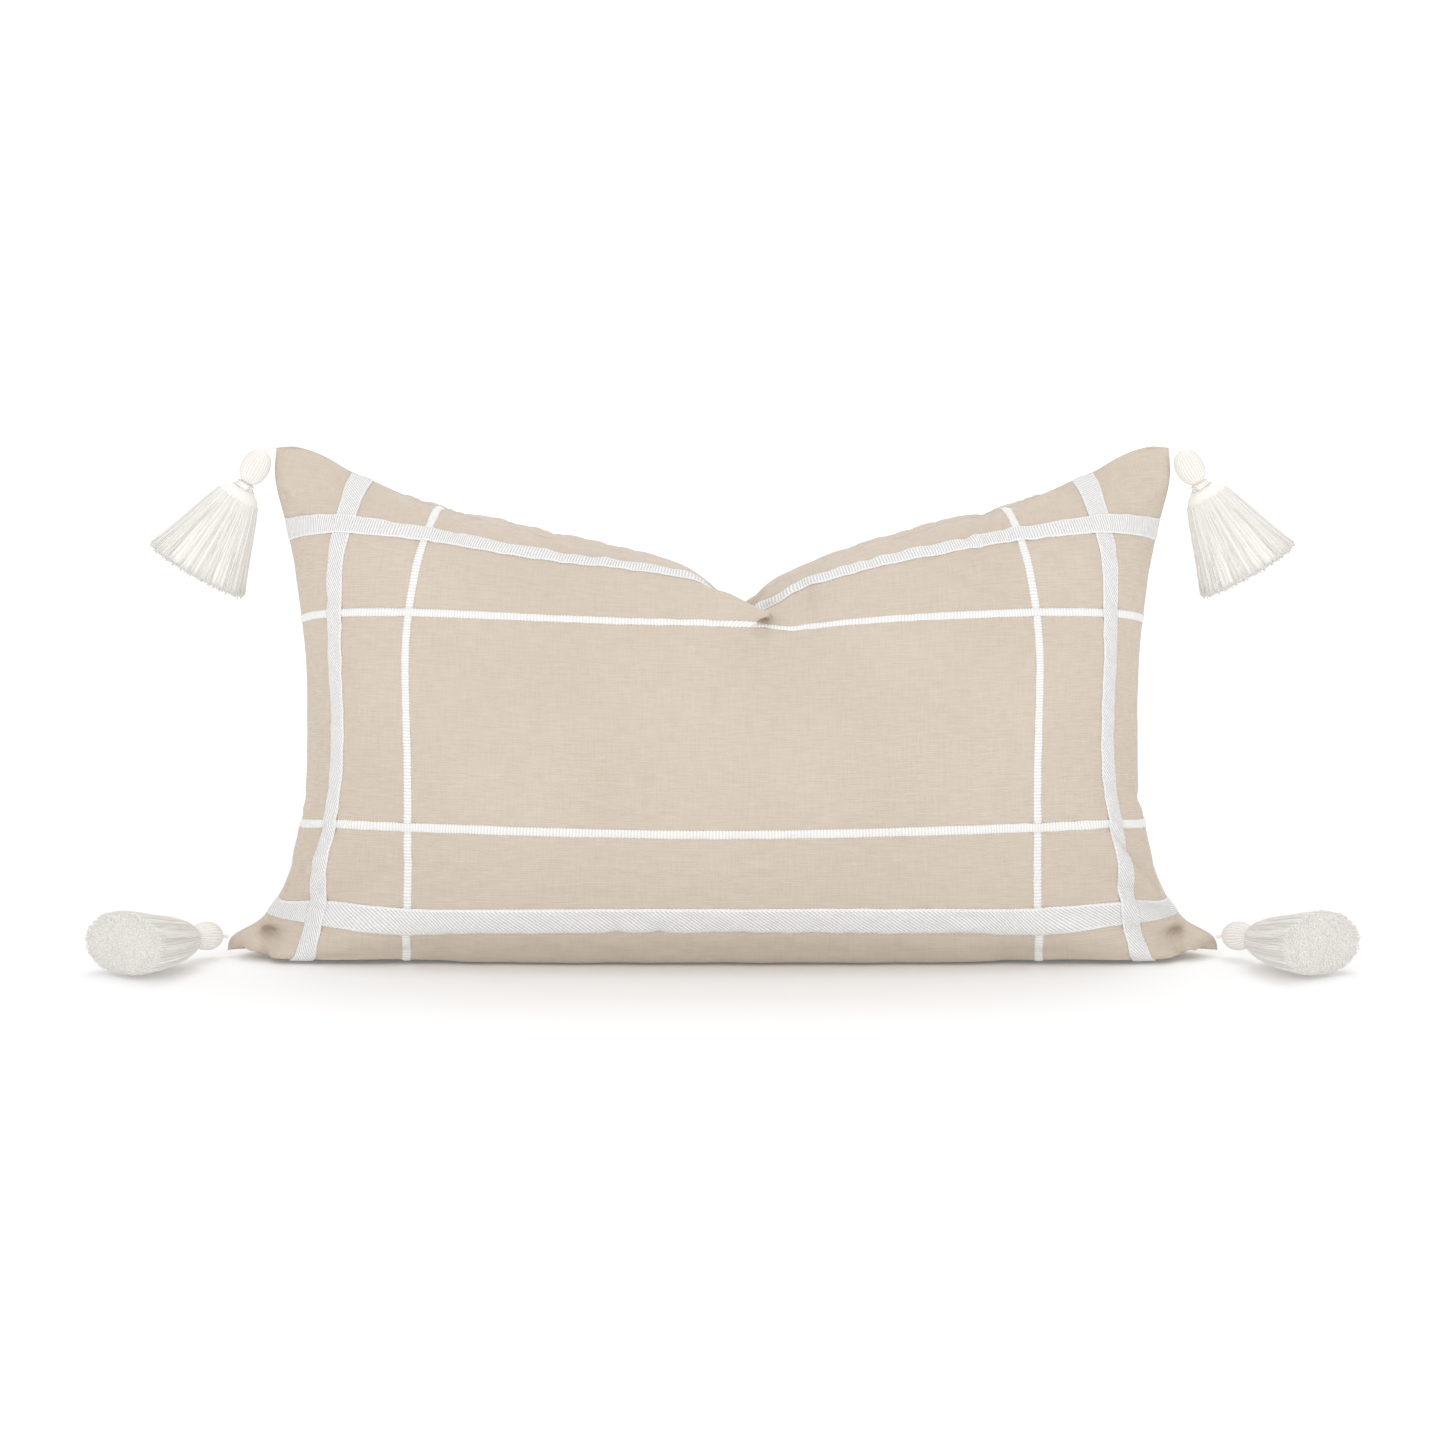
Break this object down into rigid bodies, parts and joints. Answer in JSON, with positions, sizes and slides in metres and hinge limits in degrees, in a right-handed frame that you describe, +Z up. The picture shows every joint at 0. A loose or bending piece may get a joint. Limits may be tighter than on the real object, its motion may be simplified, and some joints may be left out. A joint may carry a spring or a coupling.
{
  "type": "throw pillow",
  "caption": "Lumbar throw pillow in woven canvas with crossing sewn tapes, a tassel at each corner, a chopped top and a zipped removable insert.",
  "frame": {"origin": "middle of the floor area that the pillow stands on, under its seam plane", "axes": "+Z up, +X along the pillow's length to its right seen from the front, -Y out of the decorated front"},
  "size_m": [0.6334, 0.149, 0.2581],
  "materials": {
    "cover_canvas": "matte woven",
    "tape_cotton": "matte twill",
    "satin_thread": "satin stitch",
    "tassel_yarn": "soft yarn",
    "ticking": "matte woven",
    "fibre_filling": "loose fibre",
    "zip_tape": "matte woven",
    "zip_metal": "satin"
  },
  "bodies": {
    "pillow": {"cover_front": "cover_canvas", "cover_back": "cover_canvas", "insert_front": "ticking", "insert_back": "ticking", "insert_filling": "fibre_filling", "tape_top": "tape_cotton", "narrow_line_top": "satin_thread", "tape_bottom": "tape_cotton", "narrow_line_bottom": "satin_thread", "tape_left": "tape_cotton", "narrow_line_left": "satin_thread", "tape_right": "tape_cotton", "narrow_line_right": "satin_thread", "zip_tape_front": "zip_tape", "zip_coil_front": "zip_tape", "zip_tape_back": "zip_tape", "zip_coil_back": "zip_tape", "zip_stop_left": "zip_metal", "zip_stop_right": "zip_metal"},
    "zip_slider": {"zip_slider": "zip_metal"},
    "zip_pull": {"zip_pull": "zip_metal"},
    "tassel_top_left_cord": {"tassel_top_left_cord": "tassel_yarn"},
    "tassel_top_left": {"tassel_top_left_head": "tassel_yarn", "tassel_top_left_neck": "tassel_yarn", "tassel_top_left_skirt": "tassel_yarn"},
    "tassel_bottom_left_cord": {"tassel_bottom_left_cord": "tassel_yarn"},
    "tassel_bottom_left": {"tassel_bottom_left_head": "tassel_yarn", "tassel_bottom_left_neck": "tassel_yarn", "tassel_bottom_left_skirt": "tassel_yarn"},
    "tassel_top_right_cord": {"tassel_top_right_cord": "tassel_yarn"},
    "tassel_top_right": {"tassel_top_right_head": "tassel_yarn", "tassel_top_right_neck": "tassel_yarn", "tassel_top_right_skirt": "tassel_yarn"},
    "tassel_bottom_right_cord": {"tassel_bottom_right_cord": "tassel_yarn"},
    "tassel_bottom_right": {"tassel_bottom_right_head": "tassel_yarn", "tassel_bottom_right_neck": "tassel_yarn", "tassel_bottom_right_skirt": "tassel_yarn"}
  },
  "joints": [
    {"name": "zip_slide", "type": "slide", "parent": "pillow", "child": "zip_slider", "axis": [1, 0, 0], "range_m": [0, 0.36]},
    {"name": "zip_pull_hinge", "type": "hinge", "parent": "zip_slider", "child": "zip_pull", "pos_m": [-0.183, 0, 0.0039], "axis": [0, 1, 0], "range_deg": [0, 175]},
    {"name": "tassel_top_left_swing", "type": "hinge", "parent": "pillow", "child": "tassel_top_left_cord", "pos_m": [-0.2226, 0, 0.2572], "axis": [0, 1, 0], "range_deg": [0, 75]},
    {"name": "tassel_top_left_tip", "type": "hinge", "parent": "tassel_top_left_cord", "child": "tassel_top_left", "pos_m": [-0.22473, 0, 0.25646], "axis": [0.866, 0, -0.5], "range_deg": [-60, 60]},
    {"name": "tassel_bottom_left_swing", "type": "hinge", "parent": "pillow", "child": "tassel_bottom_left_cord", "pos_m": [-0.2504, 0, 0.01], "axis": [0, 0, 1], "range_deg": [-95, 25]},
    {"name": "tassel_bottom_left_lift", "type": "hinge", "parent": "tassel_bottom_left_cord", "child": "tassel_bottom_left", "pos_m": [-0.25159, 0, 0.01018], "axis": [-0.7841, 0.6206, 0], "range_deg": [0, 85]},
    {"name": "tassel_top_right_swing", "type": "hinge", "parent": "pillow", "child": "tassel_top_right_cord", "pos_m": [0.2226, 0, 0.2572], "axis": [0, -1, 0], "range_deg": [0, 75]},
    {"name": "tassel_top_right_tip", "type": "hinge", "parent": "tassel_top_right_cord", "child": "tassel_top_right", "pos_m": [0.22473, 0, 0.25646], "axis": [0.866, 0, 0.5], "range_deg": [-60, 60]},
    {"name": "tassel_bottom_right_swing", "type": "hinge", "parent": "pillow", "child": "tassel_bottom_right_cord", "pos_m": [0.2504, 0, 0.01], "axis": [0, 0, -1], "range_deg": [-95, 25]},
    {"name": "tassel_bottom_right_lift", "type": "hinge", "parent": "tassel_bottom_right_cord", "child": "tassel_bottom_right", "pos_m": [0.25159, 0, 0.01018], "axis": [-0.7841, -0.6206, 0], "range_deg": [0, 85]}
  ]
}
